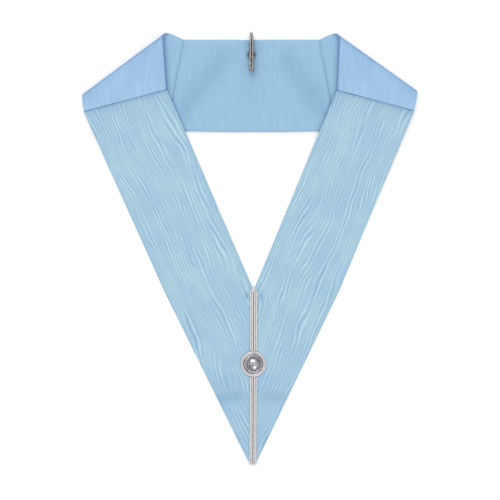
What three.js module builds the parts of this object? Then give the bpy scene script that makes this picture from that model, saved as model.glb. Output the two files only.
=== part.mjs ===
// A light blue officer's neck collar with silver braid, laid flat with its two shoulders folded over.
// Millimetres, +Z up. The back of the neck lies towards +Y and the long point towards -Y.
// Until the end of the file, X is counted from the middle of the back and Y from its neck edge.
import * as THREE from 'three';

// Back strip
const NECK_LENGTH = 162; // neck edge, from one back seam to the other
const BACK_WIDTH = 108.3; // from the neck edge to the lower hem
const BACK_MITRE = 10.7; // lean of the back seams, in degrees
const HEM_BOW = 2; // how far the lower hem sags in its middle

// Shoulders
const NECK_RISE = 23.2; // neck edge from the back seam to the fold
const SHOULDER_NECK = 67.8; // neck edge from the fold to the front seam
const SHOULDER_OUTER = 21.8; // outer edge from the fold to the front seam
const FOLD_HOLLOW_NECK = 3; // radius of the free space inside the fold, at the neck
const FOLD_HOLLOW_OUTER = 0.8; // the same at the outer corner

// Fronts
const RIBBON_WIDTH = 101.6;
const RIBBON_TAPER = 3.4; // how much narrower the left front is at the height of the crotch
const CROTCH_DEPTH = 300.3; // from the neck edge down to where the fronts meet
const CROTCH_SWAY = 2.7; // how far right of the middle they meet
const POINT_LENGTH = 207; // from the crotch down to the tip
const TIP_SWAY = 1.6;
const TIP_HALF_WIDTH = 6.2;
const TIP_RISE = 3;

// Walls and gaps
const CLOTH = 1.2;
const LINING = 1;
const LINING_INSET = 1; // the lining stops this far from the edges of the cloth
const GAP = 0.3;

// Braid
const BRAID_WIDTH = 4.4;
const BRAID_HEIGHT = 1.5;
const BRAID_GROOVE = 0.4; // height of the middle groove and the sides, as a share
const BRAID_OVERLAP = 3.1; // how far the hairpin reaches over the crotch
const RING_DIAMETER = 31;
const RING_BRAID_WIDTH = 3.7; // the ring's braid, drawn narrower round the button

// Button
const BUTTON_DROP = 88; // from the crotch down to the middle of the button
const DOME_DIAMETER = 15.6;
const DOME_HEIGHT = 4.2;
const FLANGE_HEIGHT = 1.6;
const FLANGE_EDGE = 1; // height of the flange's outer edge
const FLANGE_BEVEL = 1; // width of the slope from that edge up to the flange
const GROOVE_WIDTH = 0.6; // the groove between the flange and the dome
const GROOVE_FLOOR = 1.1; // height of that groove's floor
const RIB_COUNT = 24;
const RIB_HEIGHT = 0.5;

// Hook
const WIRE = 1.7;
const HOOK_RISE = 8; // how far its bend stands out past the neck edge
const BILL_LENGTH = 47; // from the bend to the end of the front legs
const SHANK_LENGTH = 26; // from the bend to the eyelets
const HOOK_THROAT = 4.8; // clear height between shank and bill
const LEG_SPREAD = 1.1; // from the two front legs at the bend to their wider ends
const EYELET_WIDTH = 3.6;
const EYELET_HEIGHT = 7.2;
const EYELET_SWEEP = 256; // how far round each eyelet the wire goes, in degrees
const BILL_FLARE = 2.2; // how far the end of the bill turns up

// The way of one front leg, from the bend on: shares of the legs' spread, of the bill's length
// and of the flare.
const BILL_ROUTE = [
  { spread: 0.5, reach: 0.4, flare: 0 },
  { spread: 1, reach: 0.85, flare: 0 },
  { spread: 1, reach: 0.92, flare: 0.3 },
  { spread: 1, reach: 0.96, flare: 1 },
];

// How each side lies: angles in degrees, lengths as shares of the sizes above.
const SIDES = [
  { name: 'left', sign: -1, riseAngle: 18.4, neckLean: 2.2, seamAngle: 14.6, outerLean: 4.2,
    rise: 1.01, width: 1.004, outer: 0.97, taper: 1, tip: 0.96 },
  { name: 'right', sign: 1, riseAngle: 17.7, neckLean: 0.3, seamAngle: 14.7, outerLean: 8.5,
    rise: 0.95, width: 0.934, outer: 1.13, taper: 0.1, tip: 0.8 },
];

// A front comes down to the surface at this share of the hem corner's distance from the fold.
const LANDING = 2.2;

// Steps across and along each piece of cloth
const ACROSS = 8;
const BACK_STEPS = 8;
const REAR_STEPS = 3;
const ROLL_STEPS = 10;
const SHOULDER_STEPS = 6;
const FRONT_STEPS = 16;
const POINT_STEPS = 8;

// Steps across and round the trimming
const BRAID_FACETS = 12;
const ARCH_STEPS = 12;
const TURN_DOWN_STEPS = 4;
const RING_FACETS = 8;
const RING_STEPS = 40;
const STEPS_PER_RIB = 4;
const DOME_STEPS = 6;

// Steps along and round the hook's wire
const EYELET_STEPS = 9;
const BEND_STEPS = 6;
const WIRE_STEPS = 96;
const WIRE_FACETS = 4; // to each half of its round section

const STACK = CLOTH + GAP + LINING; // the cloth and its lining together
const BUTTON_DIAMETER = RING_DIAMETER - 2 * RING_BRAID_WIDTH - 2 * GAP;

const { clamp, degToRad, lerp } = THREE.MathUtils;

const ribbonBlue = new THREE.MeshStandardMaterial({ color: 0xa5cbe2, roughness: 0.55 });
const shoulderBlue = new THREE.MeshStandardMaterial({ color: 0x9fc4e6, roughness: 0.6 });
const liningBlue = new THREE.MeshStandardMaterial({ color: 0x97c0dd, roughness: 0.7 });
const silverBraid = new THREE.MeshStandardMaterial({ color: 0xc2c0c2, roughness: 0.45, metalness: 0.7 });
const buttonMetal = new THREE.MeshStandardMaterial({ color: 0x9b9a9f, roughness: 0.3, metalness: 1 });
const hookMetal = new THREE.MeshStandardMaterial({ color: 0x7b7473, roughness: 0.4, metalness: 1 });

const step = (from, distance, angle) => new THREE.Vector2(
  from.x + distance * Math.cos(degToRad(angle)),
  from.y + distance * Math.sin(degToRad(angle)),
);

const between = (a, b, share) => a.clone().lerp(b, share);

// The outline of one side, seen from above, with X counted outwards.
function layOut(side) {
  const backTop = new THREE.Vector2(NECK_LENGTH / 2, 0);
  const backEnd = new THREE.Vector2(backTop.x + BACK_WIDTH * Math.tan(degToRad(BACK_MITRE)), -BACK_WIDTH);
  const foldTop = step(backTop, NECK_RISE * side.rise, side.riseAngle);
  const seamTop = step(foldTop, SHOULDER_NECK, -90 - side.neckLean);
  const crotch = new THREE.Vector2(side.sign * CROTCH_SWAY, -CROTCH_DEPTH);
  const tip = new THREE.Vector2(side.sign * TIP_SWAY, -CROTCH_DEPTH - POINT_LENGTH);

  const lean = Math.atan2(seamTop.x - crotch.x, seamTop.y - crotch.y);
  const seamLength = RIBBON_WIDTH * side.width / Math.cos(lean - degToRad(side.seamAngle));
  const seamEnd = step(seamTop, seamLength, -side.seamAngle);
  const foldEnd = step(seamEnd, SHOULDER_OUTER * side.outer, 90 - side.outerLean);
  const bend = new THREE.Vector2(
    seamEnd.x - (seamEnd.y - crotch.y) * Math.tan(lean) - RIBBON_TAPER * side.taper,
    crotch.y,
  );
  const tipCorner = new THREE.Vector2(tip.x + TIP_HALF_WIDTH * side.tip, tip.y + TIP_RISE);

  const along = foldEnd.clone().sub(foldTop).normalize();
  const inward = new THREE.Vector2(along.y, -along.x);
  return {
    side, backTop, backEnd, foldTop, foldEnd, seamTop, seamEnd, crotch, bend, tip, tipCorner, along, inward,
    foldLength: foldTop.distanceTo(foldEnd),
    landing: LANDING * backEnd.clone().sub(foldTop).dot(inward),
  };
}

// The outside radius of the fold, at a share of its length counted from the neck.
const foldRadius = (share) => STACK + lerp(FOLD_HOLLOW_NECK, FOLD_HOLLOW_OUTER, clamp(share, 0, 1));

// The height of the outer face in front of the fold: from the top of the fold it eases down to rest.
function topHeight(plan, point) {
  const reach = point.clone().sub(plan.foldTop);
  const radius = foldRadius(reach.dot(plan.along) / plan.foldLength);
  const share = clamp((reach.dot(plan.inward) - radius) / (plan.landing - radius), 0, 1);
  return STACK + (2 * radius - STACK) * (1 + Math.cos(Math.PI * share)) / 2;
}

const place = (plan, point, height) => new THREE.Vector3(plan.side.sign * point.x, point.y, height);

// Gives a mesh's faces the winding that points outwards.
function faceOutwards(geometry) {
  const spots = geometry.getAttribute('position');
  const order = geometry.index.array;
  const [a, b, c] = [new THREE.Vector3(), new THREE.Vector3(), new THREE.Vector3()];
  let volume = 0;
  for (let k = 0; k < order.length; k += 3) {
    a.fromBufferAttribute(spots, order[k]);
    b.fromBufferAttribute(spots, order[k + 1]);
    c.fromBufferAttribute(spots, order[k + 2]);
    volume += a.dot(b.cross(c));
  }
  if (volume < 0) {
    for (let k = 0; k < order.length; k += 3) {
      [order[k], order[k + 1]] = [order[k + 1], order[k]];
    }
  }
  geometry.computeVertexNormals();
  return geometry;
}

// A closed body through sections, each a row of top points and a row of bottom points.
function loft(sections) {
  const across = sections[0].top.length;
  const last = sections.length - 1;
  const points = sections.flatMap(({ top, bottom }) => [...top, ...bottom]);
  const at = (section, row, i) => (section * 2 + row) * across + i;
  const faces = [];
  const quad = (a, b, c, d) => faces.push(a, b, c, a, c, d);
  for (let j = 0; j < last; j += 1) {
    for (let i = 0; i + 1 < across; i += 1) {
      quad(at(j, 0, i), at(j, 0, i + 1), at(j + 1, 0, i + 1), at(j + 1, 0, i));
      quad(at(j, 1, i), at(j + 1, 1, i), at(j + 1, 1, i + 1), at(j, 1, i + 1));
    }
    quad(at(j, 0, 0), at(j + 1, 0, 0), at(j + 1, 1, 0), at(j, 1, 0));
    quad(at(j, 0, across - 1), at(j, 1, across - 1), at(j + 1, 1, across - 1), at(j + 1, 0, across - 1));
  }
  for (let i = 0; i + 1 < across; i += 1) {
    quad(at(0, 0, i), at(0, 1, i), at(0, 1, i + 1), at(0, 0, i + 1));
    quad(at(last, 0, i), at(last, 0, i + 1), at(last, 1, i + 1), at(last, 1, i));
  }
  const geometry = new THREE.BufferGeometry().setFromPoints(points);
  geometry.setIndex(faces);
  return faceOutwards(geometry);
}

// A layer of cloth between two depths under an outer face, which is given as rows of points.
function clothLayer(rows, sign, near, far) {
  const inwardAt = (j, i) => {
    const row = rows[j];
    const aside = row[Math.min(i + 1, row.length - 1)].clone().sub(row[Math.max(i - 1, 0)]);
    const ahead = rows[Math.min(j + 1, rows.length - 1)][i].clone().sub(rows[Math.max(j - 1, 0)][i]);
    return aside.cross(ahead).normalize().multiplyScalar(sign);
  };
  return loft(rows.map((row, j) => ({
    top: row.map((point, i) => point.clone().addScaledVector(inwardAt(j, i), near)),
    bottom: row.map((point, i) => point.clone().addScaledVector(inwardAt(j, i), far)),
  })));
}

const shares = (count, from = 0, to = 1) =>
  Array.from({ length: count + 1 }, (_, k) => lerp(from, to, k / count));

// The outer face of the back strip, which lies face down.
function backRows(inset) {
  const edge = inset / BACK_WIDTH;
  const [left, right] = SIDES.map((side) => {
    const plan = layOut(side);
    return shares(ACROSS, edge, 1 - edge).map((share) => {
      const point = between(plan.backTop, plan.backEnd, share);
      point.x -= GAP;
      return place(plan, point, 0);
    });
  });
  return shares(BACK_STEPS).map((along) => left.map((point, i) => {
    const sag = HEM_BOW * (1 - (2 * along - 1) ** 2) * i / ACROSS;
    return point.clone().lerp(right[i], along).setY(point.y - sag);
  }));
}

// The outer face of a shoulder: flat behind, rolled over the fold at a slant, then on to the front seam.
function shoulderRows(side, inset) {
  const plan = layOut(side);
  const edge = inset / BACK_WIDTH;
  const lines = shares(ACROSS, edge, 1 - edge).map((share) => {
    const rear = between(plan.backTop, plan.backEnd, share);
    const crest = between(plan.foldTop, plan.foldEnd, share);
    const front = between(plan.seamTop, plan.seamEnd, share);
    const radius = foldRadius(share);
    const course = crest.clone().sub(rear);
    const slant = course.dot(plan.along) / -course.dot(plan.inward);
    const onRoll = (turn) => crest.clone()
      .addScaledVector(plan.along, radius * slant * (turn - Math.PI / 2))
      .addScaledVector(plan.inward, radius * (1 - Math.sin(turn)));
    const rollTop = topHeight(plan, onRoll(Math.PI));

    rear.addScaledVector(course.clone().normalize(), GAP);
    front.addScaledVector(onRoll(Math.PI).sub(front).normalize(), GAP);
    return [
      ...shares(REAR_STEPS).slice(0, -1)
        .map((t) => place(plan, between(rear, onRoll(0), t), 0)),
      ...shares(ROLL_STEPS, 0, Math.PI)
        .map((turn) => place(plan, onRoll(turn), rollTop * (1 - Math.cos(turn)) / 2)),
      ...shares(SHOULDER_STEPS).slice(1).map((t) => {
        const point = between(onRoll(Math.PI), front, t);
        return place(plan, point, topHeight(plan, point));
      }),
    ];
  });
  return lines[0].map((_, j) => lines.map((line) => line[j]));
}

// The outer face of a front, from the front seam down to the tip.
function frontRows(side) {
  const plan = layOut(side);
  const aside = new THREE.Vector2(GAP / 2, 0);
  const crotch = plan.crotch.clone().add(aside);
  const tip = plan.tip.clone().add(aside);
  const ends = [
    ...shares(FRONT_STEPS).slice(0, -1)
      .map((t) => [between(plan.seamTop, crotch, t), between(plan.seamEnd, plan.bend, t)]),
    ...shares(POINT_STEPS)
      .map((t) => [between(crotch, tip, t), between(plan.bend, plan.tipCorner, t)]),
  ];
  return ends.map(([inner, outer]) => shares(ACROSS).map((share) => {
    const point = between(inner, outer, share);
    return place(plan, point, topHeight(plan, point));
  }));
}

// Cross-section of the braid: two cords side by side over a flat back.
function braidSection(count, width) {
  return shares(count, -1, 1).map((spot) => {
    const overCord = Math.abs(spot) * 2 - 1;
    return {
      aside: spot * width / 2,
      height: BRAID_HEIGHT * lerp(BRAID_GROOVE, 1, Math.sqrt(1 - overCord ** 2)),
    };
  });
}

// One place along a braid: where its middle lies, which way is aside and which way is up.
function braidStation(middle, aside, up = new THREE.Vector3(0, 0, 1)) {
  const section = braidSection(BRAID_FACETS, BRAID_WIDTH);
  return {
    top: section.map((spot) => middle.clone()
      .addScaledVector(aside, spot.aside).addScaledVector(up, spot.height)),
    bottom: section.map((spot) => middle.clone().addScaledVector(aside, spot.aside)),
  };
}

const RUN_OFFSET = (BRAID_WIDTH + GAP) / 2; // from the seam to the middle of either run
const RING_REACH = RING_DIAMETER / 2 + GAP;

// The upper braid: up one side of the seam, round in a hairpin and down the other side.
function upperBraid() {
  const turnY = BRAID_OVERLAP - RUN_OFFSET - BRAID_WIDTH / 2;
  const endY = -BUTTON_DROP + RING_REACH;
  const left = new THREE.Vector3(-1, 0, 0);
  const right = new THREE.Vector3(1, 0, 0);
  const arch = shares(ARCH_STEPS, Math.PI, 0).map((turn) => {
    const outwards = new THREE.Vector3(Math.cos(turn), Math.sin(turn), 0);
    const middle = new THREE.Vector3(0, turnY, 0).addScaledVector(outwards, RUN_OFFSET);
    return braidStation(middle, outwards);
  });
  return loft([
    braidStation(new THREE.Vector3(-RUN_OFFSET, endY, 0), left),
    ...arch,
    braidStation(new THREE.Vector3(RUN_OFFSET, endY, 0), right),
  ]);
}

// A lower run: from the ring down to the tip, where its end is turned down over the edge.
function lowerBraid(sign) {
  const x = sign * RUN_OFFSET;
  const aside = new THREE.Vector3(1, 0, 0);
  const edge = -POINT_LENGTH;
  const overEdge = shares(TURN_DOWN_STEPS, 0, Math.PI / 2).map((turn) => {
    const up = new THREE.Vector3(0, -Math.sin(turn), Math.cos(turn));
    const middle = new THREE.Vector3(x, edge, -GAP).addScaledVector(up, GAP);
    return braidStation(middle, aside, up);
  });
  const down = new THREE.Vector3(x, edge - GAP, -STACK);
  return loft([
    braidStation(new THREE.Vector3(x, -BUTTON_DROP - RING_REACH, 0), aside),
    ...overEdge,
    braidStation(down, aside, new THREE.Vector3(0, -1, 0)),
  ]);
}

// A lathe profile of radius and height, turned about the vertical axis.
function turned(profile, segments) {
  const outline = profile.map(([radius, height]) => new THREE.Vector2(radius, height));
  const geometry = new THREE.LatheGeometry(outline, segments);
  geometry.rotateX(Math.PI / 2);
  return faceOutwards(geometry);
}

function braidRing() {
  const middle = (RING_DIAMETER - RING_BRAID_WIDTH) / 2;
  const section = braidSection(RING_FACETS, RING_BRAID_WIDTH)
    .map((spot) => [middle + spot.aside, spot.height]);
  const inner = [middle - RING_BRAID_WIDTH / 2, 0];
  const outer = [RING_DIAMETER / 2, 0];
  return turned([inner, ...section, outer, inner], RING_STEPS);
}

// The button: a ribbed flange round a low dome with a stepped foot.
function button() {
  const rim = BUTTON_DIAMETER / 2;
  const dome = DOME_DIAMETER / 2;
  const ribTop = rim - FLANGE_BEVEL;
  const ribFoot = dome + GROOVE_WIDTH;
  const profile = [
    [0, 0],
    [rim, 0],
    [rim, FLANGE_EDGE],
    [ribTop, FLANGE_HEIGHT],
    [(ribTop + ribFoot) / 2, FLANGE_HEIGHT],
    [ribFoot, FLANGE_HEIGHT],
    [dome, GROOVE_FLOOR],
    ...shares(DOME_STEPS, 0, Math.PI / 2).slice(1, -1)
      .map((rise) => [dome * Math.cos(rise), FLANGE_HEIGHT + DOME_HEIGHT * Math.sin(rise)]),
    [0, FLANGE_HEIGHT + DOME_HEIGHT],
  ];
  const geometry = turned(profile, STEPS_PER_RIB * RIB_COUNT);
  const spots = geometry.getAttribute('position');
  for (let k = 0; k < spots.count; k += 1) {
    const [x, y, z] = [spots.getX(k), spots.getY(k), spots.getZ(k)];
    const radius = Math.hypot(x, y);
    if (z > 0 && radius > dome + GAP && radius < rim - GAP) {
      spots.setZ(k, z + RIB_HEIGHT * (1 + Math.cos(RIB_COUNT * Math.atan2(y, x))) / 2);
    }
  }
  geometry.computeVertexNormals();
  return geometry;
}

// The hook's wire: from an eyelet up the shank, over the bend, down the bill and back the same way.
function hookPath() {
  const low = WIRE / 2;
  const high = low + HOOK_THROAT + WIRE;
  const bendRadius = (high - low) / 2;
  const leg = (WIRE + GAP) / 2;
  const bendY = HOOK_RISE - WIRE / 2 - bendRadius;
  const shankY = HOOK_RISE - SHANK_LENGTH;
  const billY = HOOK_RISE - BILL_LENGTH;
  const [wide, tall] = [EYELET_WIDTH / 2, EYELET_HEIGHT / 2];
  const eyeletStart = Math.PI + degToRad(EYELET_SWEEP);
  const eyelet = shares(EYELET_STEPS, eyeletStart, Math.PI).map((turn) => new THREE.Vector3(
    leg + wide + wide * Math.cos(turn), shankY + tall * Math.sin(turn), low));
  const bend = shares(BEND_STEPS, -Math.PI / 2, Math.PI / 2).map((turn) => new THREE.Vector3(
    leg, bendY + bendRadius * Math.cos(turn), low + bendRadius + bendRadius * Math.sin(turn)));
  const bill = BILL_ROUTE.map(({ spread, reach, flare }) => new THREE.Vector3(
    leg + spread * LEG_SPREAD / 2, lerp(bendY, billY, reach), high + flare * BILL_FLARE));
  const half = [...eyelet, ...bend, ...bill];
  const otherHalf = half.map((point) => new THREE.Vector3(-point.x, point.y, point.z)).reverse();
  const crown = new THREE.Vector3(0, billY + WIRE / 2, high + BILL_FLARE);
  return new THREE.CatmullRomCurve3([...half, crown, ...otherHalf], false, 'centripetal');
}

function hook() {
  const wire = new THREE.Shape().absellipse(0, 0, WIRE / 2, WIRE / 2, 0, 2 * Math.PI, false, 0);
  return new THREE.ExtrudeGeometry(wire, {
    extrudePath: hookPath(), steps: WIRE_STEPS, curveSegments: WIRE_FACETS,
  });
}

function mesh(name, geometry, material) {
  const piece = new THREE.Mesh(geometry, material);
  piece.name = name;
  return piece;
}

const collar = new THREE.Group();
collar.add(mesh('back_panel', clothLayer(backRows(0), 1, 0, CLOTH), shoulderBlue));
collar.add(mesh('back_lining', clothLayer(backRows(LINING_INSET), 1, CLOTH + GAP, STACK), liningBlue));
for (const side of SIDES) {
  const { name, sign } = side;
  const panel = clothLayer(shoulderRows(side, 0), sign, 0, CLOTH);
  const lining = clothLayer(shoulderRows(side, LINING_INSET), sign, CLOTH + GAP, STACK);
  collar.add(mesh(`shoulder_panel_${name}`, panel, shoulderBlue));
  collar.add(mesh(`shoulder_lining_${name}`, lining, liningBlue));
  collar.add(mesh(`front_panel_${name}`, clothLayer(frontRows(side), sign, 0, STACK), ribbonBlue));
}

// The trimming lies on the fronts, in line with the seam between them.
const trimming = new THREE.Group();
trimming.position.set(CROTCH_SWAY, -CROTCH_DEPTH, STACK + GAP);
trimming.rotation.z = Math.atan2(TIP_SWAY - CROTCH_SWAY, POINT_LENGTH);
trimming.add(mesh('braid_upper', upperBraid(), silverBraid));
trimming.add(mesh('braid_lower_left', lowerBraid(-1), silverBraid));
trimming.add(mesh('braid_lower_right', lowerBraid(1), silverBraid));
for (const piece of [mesh('braid_ring', braidRing(), silverBraid), mesh('button', button(), buttonMetal)]) {
  piece.position.y = -BUTTON_DROP;
  trimming.add(piece);
}
collar.add(trimming);

const collarHook = mesh('collar_hook', hook(), hookMetal);
collarHook.position.z = STACK + GAP;
collar.add(collarHook);

// The finished collar stands on its underside, in the middle of its length and width.
const bounds = new THREE.Box3().setFromObject(collar);
const middle = bounds.getCenter(new THREE.Vector3());
collar.position.set(-middle.x, -middle.y, -bounds.min.z);

export default collar;
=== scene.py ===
# A light blue officer's neck collar with silver braid, lying face up with its two shoulders folded over.
# Metres, +Z up. The back of the neck lies towards +Y and the long point towards -Y.
from functools import lru_cache
from math import atan2, cos, exp, hypot, pi, radians, sin, sqrt, tan
from types import SimpleNamespace

import bpy
from mathutils import Matrix, Vector, noise


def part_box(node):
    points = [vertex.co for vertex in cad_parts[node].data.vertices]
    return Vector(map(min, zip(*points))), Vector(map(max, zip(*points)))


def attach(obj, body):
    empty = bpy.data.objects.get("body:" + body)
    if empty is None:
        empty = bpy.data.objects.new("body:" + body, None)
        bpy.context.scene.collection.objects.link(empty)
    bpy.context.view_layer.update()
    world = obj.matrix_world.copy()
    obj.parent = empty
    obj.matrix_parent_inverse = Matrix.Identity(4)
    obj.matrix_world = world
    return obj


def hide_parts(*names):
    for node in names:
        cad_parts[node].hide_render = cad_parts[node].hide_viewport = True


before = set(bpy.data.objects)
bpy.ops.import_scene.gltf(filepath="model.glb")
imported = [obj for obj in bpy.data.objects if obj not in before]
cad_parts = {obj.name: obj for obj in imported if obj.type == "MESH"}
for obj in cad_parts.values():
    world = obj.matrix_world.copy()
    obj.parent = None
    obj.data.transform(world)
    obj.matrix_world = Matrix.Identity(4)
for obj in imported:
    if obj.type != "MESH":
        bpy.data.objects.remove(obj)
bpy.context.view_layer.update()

# Camera, straight above the collar
CAMERA_HEIGHT = 1.4
VIEW_WIDTH = 0.6  # what the picture shows of the floor, from side to side
CAMERA_X = 0.0003
CAMERA_Y = -0.0013

# Back strip
NECK_LENGTH = 0.162
BACK_WIDTH = 0.1083
BACK_MITRE = 10.7
HEM_BOW = 0.002

# Shoulders
NECK_RISE = 0.0232
SHOULDER_NECK = 0.0678
SHOULDER_OUTER = 0.0218
FOLD_HOLLOW_NECK = 0.003
FOLD_HOLLOW_OUTER = 0.0008
SHOULDER_HEM = 0.0034  # from the neck edge to the line where it is stitched
LANDING = 2.2  # where a front reaches the floor, as a share of the hem corner's distance from the fold

# Fronts
RIBBON_WIDTH = 0.1016
RIBBON_TAPER = 0.0034
CROTCH_DEPTH = 0.3003
CROTCH_SWAY = 0.0027
POINT_LENGTH = 0.207
TIP_SWAY = 0.0016
TIP_HALF_WIDTH = 0.0062
TIP_RISE = 0.003
FRONT_HEM = 0.0032  # from a front's inner edge to the line where its hem is pressed
BRAID_DENT = 0.0055  # from the seam between the fronts to the dent beside the braid
EDGE_REST = 0.006  # how near to an edge the cloth comes to rest
PUCKER_SPOT = (0.0085, -0.0068)  # outwards and down from the crotch
PUCKER_REACH = (0.0021, 0.0032)
PUCKER_DEPTH = 0.0012
# How dark a shade is painted in the puckers
PUCKER_SHADE = 0.55

# Walls and gaps
CLOTH = 0.0012
LINING = 0.001
LINING_INSET = 0.0004
LINING_LOOSE = 0.001  # how far the lining stands off its cloth where nothing holds it down
GAP = 0.0003
SEAM_GAP = 0.00004  # between two cloths that are sewn edge to edge
STACK = CLOTH + GAP + LINING

# Braid
BRAID_WIDTH = 0.0044
BRAID_HEIGHT = 0.0015
BRAID_GROOVE = 0.4  # height of the middle groove and the sides, as a share
BRAID_OVERLAP = 0.0031
RING_DIAMETER = 0.031
RING_BRAID_WIDTH = 0.0037
THREAD_PITCH = 0.0011  # from one turn of the metal thread to the next
THREAD_RELIEF = 0.00016
THREAD_SLANT = 0.6  # how far a turn runs on while it crosses a cord, in cord widths
BRAID_COLUMNS = 16
ROWS_PER_TURN = 6
BRAID_SINK = 0.0003  # the braid is sewn down on to the cloth under it
BRAID_END = 0.0002  # over this length the end of a braid rounds down
ARCH_PEAK = 0.0009  # how far the hairpin is drawn up to a point
CROSSING_LENGTH = 0.0072
CROSSING_WIDTH = 0.55  # as a share of the braid's
CROSSING_START = (-0.75, 0.0012)  # across in run offsets, and up from the end of the runs
CROSSING_END = (1.35, -0.0034)
RUN_OFFSET = (BRAID_WIDTH + GAP) / 2
RING_REACH = RING_DIAMETER / 2 + SEAM_GAP

# Button
BUTTON_DROP = 0.088
BUTTON_DIAMETER = RING_DIAMETER - 2 * RING_BRAID_WIDTH - 2 * GAP
DOME_DIAMETER = 0.0156
DOME_HEIGHT = 0.0042
FLANGE_HEIGHT = 0.0016
FLANGE_EDGE = 0.001
BEVEL = 0.0003
ROPE_TURNS = 30
ROPE_LEAN = 42
BEAD_COUNT = 44
PETAL_COUNT = 8
PETAL_REACH = 0.0036
PETAL_TILT = 18
PETAL_RISE = 0.89  # height of the petals' middles on the dome, as a share of its height
PETAL_FOOT = 0.0064  # from the middle to the hollow round the petals
FLANGE_TONE = 0.14
GRAINS = {  # half sizes of the raised grains on the button
    "strand": (0.00055, 0.0013, 0.0006),
    "bead": (0.00034, 0.00034, 0.00034),
    "petal": (0.0026, 0.00095, 0.00045),
    "boss": (0.0013, 0.0013, 0.0006),
}

# Hook
WIRE = 0.0017
HOOK_RISE = 0.008
BILL_LENGTH = 0.047
SHANK_LENGTH = 0.026
HOOK_THROAT = 0.0048
BILL_SWELL = 1.34  # how thick the wire of the bill is, as a share
BEND_PINCH = 0.34  # how much less of that it is at the top of the bend
LEG_SWELL = 0.52  # and how much more at the ends of the legs
EYELET_SHARE = 0.85  # thickness of the wire in the eyelets, as a share
EYELET_WIDTH = 0.0036
EYELET_HEIGHT = 0.0072
EYELET_SWEEP = 256
EYELET_KNOTS = 10
BEND_KNOTS = 7
CROWN_DROP = 1.8  # how far short of the bill's length the middle of its tip stops, in wires
CROWN_SHARE = 0.6
BILL_FLARE = 0.0022
BILL_ROUTE = [
    {"spread": 0.5, "reach": 0.4, "flare": 0},
    {"spread": 1, "reach": 0.85, "flare": 0},
    {"spread": 1, "reach": 0.93, "flare": 0.3},
    {"spread": 0.7, "reach": 0.97, "flare": 0.9},
]
STITCH = 0.0005  # thickness of the sewing thread

# How each side lies: angles in degrees, lengths as shares of the sizes above.
SIDES = [
    {
        "name": "left", "sign": -1, "rise_angle": 18.4, "neck_lean": 2.2, "seam_angle": 14.6,
        "outer_lean": 4.2, "rise": 1.01, "width": 1.004, "outer": 0.97, "taper": 1, "tip": 0.96,
    },
    {
        "name": "right", "sign": 1, "rise_angle": 17.7, "neck_lean": 0.3, "seam_angle": 14.7,
        "outer_lean": 8.5, "rise": 0.95, "width": 0.934, "outer": 1.13, "taper": 0.1, "tip": 0.8,
    },
]

# Soft folds pressed into the lining: where each one starts and ends, its half width, depth, and how dark a
# shade is painted along it.
NECK_HEM = 0.0052  # from the neck edge to the line where the lining's hem is pressed
LINING_FOLDS = [
    {"from": (-0.034, -0.022), "to": (-0.072, -0.072), "reach": 0.013, "depth": 0.001, "tone": 0.26},
    {"from": (0.044, -0.026), "to": (0.080, -0.078), "reach": 0.014, "depth": 0.001, "tone": 0.26},
    {"from": (-0.066, -0.060), "to": (-0.090, -0.100), "reach": 0.010, "depth": 0.0008, "tone": 0.3},
    {"from": (0.074, -0.060), "to": (0.094, -0.100), "reach": 0.010, "depth": 0.0008, "tone": 0.3},
    {"from": (0, 0), "to": (0, -0.06), "reach": 0.024, "depth": 0, "tone": 0.08},
]

# Waves across the point: distance up from the tip, fall outwards, half width, depth, and how dark a shade
# is painted along it.
POINT_WAVES = [
    {"up": 0.030, "lean": 0.1, "reach": 0.007, "depth": 0.0008, "tone": 0.22},
    {"up": 0.083, "lean": 0.15, "reach": 0.008, "depth": 0.0008, "tone": 0.26},
    {"up": 0.104, "lean": 0.2, "reach": 0.006, "depth": 0.0003, "tone": 0.08},
]

# Painted shade by each pressed line, fold, seam and edge: how dark it is painted, and how far it reaches
PAINTED_SHADE_LINES = {
    # The shadow that each front casts on the lining, painted
    "lining_shadow_by_front": (0.5, 0.0034),
    "lining_hem": (0.05, 0.001),
    "lining_seam": (0.16, 0.0026),
    "shoulder_fold": (0.85, 0.8),  # this reach is an angle round the fold
    "shoulder_past_fold": (0.24, 0.012),
    "shoulder_front_seam": (0.26, 0.0009),
    "shoulder_back_seam": (0.3, 0.0006),
    "shoulder_neck": (1.6, 0.0013),
    "shoulder_hem": (0.1, 0.0005),
    "front_seam": (0.3, 0.0015),
    "front_by_seam": (0.22, 0.0045),
    "front_below_seam": (0.1, 0.02),
    "front_inner_edge": (0.4, 0.0007),
    "front_outer_edge": (0.3, 0.0009),
    "front_hem": (0.18, 0.0006),
    "dome_foot": (0.4, 0.0006),
    "petal_foot": (0.16, 0.0007),
}

# Faces across and along each sheet, and round half of its rim
RIM_STEPS = 4
SHOULDER_GRID = (44, 110)
BACK_GRID = (56, 90)
FRONT_GRID = (56, 190)
CROTCH_SHARE = 0.54  # how far along a front its inner edge reaches the crotch

# The collar's own origin, on the middle of the back's neck edge
back_low, back_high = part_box("back_panel")
HOME = Vector(((back_low.x + back_high.x) / 2, back_high.y, 0))


# Camera

def aim_camera():
    data = bpy.data.cameras.new("camera")
    data.lens = data.sensor_width * CAMERA_HEIGHT / VIEW_WIDTH
    camera = bpy.data.objects.new("camera", data)
    camera.location = (CAMERA_X, CAMERA_Y, CAMERA_HEIGHT)
    bpy.context.scene.collection.objects.link(camera)
    bpy.context.scene.camera = camera


aim_camera()


# Layout of the cloth, with X counted outwards on either side

def step(start, distance, angle):
    turn = radians(angle)
    return start + distance * Vector((cos(turn), sin(turn)))


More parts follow.
